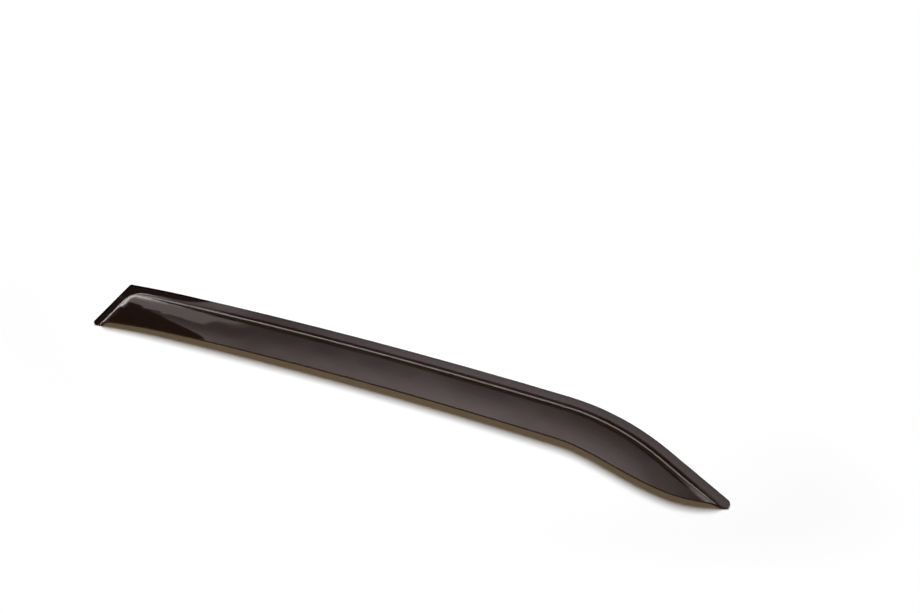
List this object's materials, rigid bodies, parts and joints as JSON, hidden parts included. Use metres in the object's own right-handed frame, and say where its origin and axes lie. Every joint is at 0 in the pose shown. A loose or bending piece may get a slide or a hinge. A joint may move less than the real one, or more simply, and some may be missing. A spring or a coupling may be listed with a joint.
{
  "type": "window rain deflector",
  "caption": "Smoked acrylic rain deflector for a car's side window: flat glued flange, sloping riser and rounded ridge, with a blade that runs from a blunt end to a swept tip.",
  "frame": {"origin": "middle of the footprint, on the plane of the flange's back, which is the face glued to the window frame", "axes": "+X along the deflector from the blunt end to the swept tip, +Y across it towards the flange's outer edge, +Z away from the car"},
  "size_m": [0.7272, 0.1004, 0.0185],
  "materials": {
    "smoked_acrylic": "polished, see-through brown smoke"
  },
  "bodies": {
    "root": {"deflector": "smoked_acrylic"}
  },
  "joints": []
}
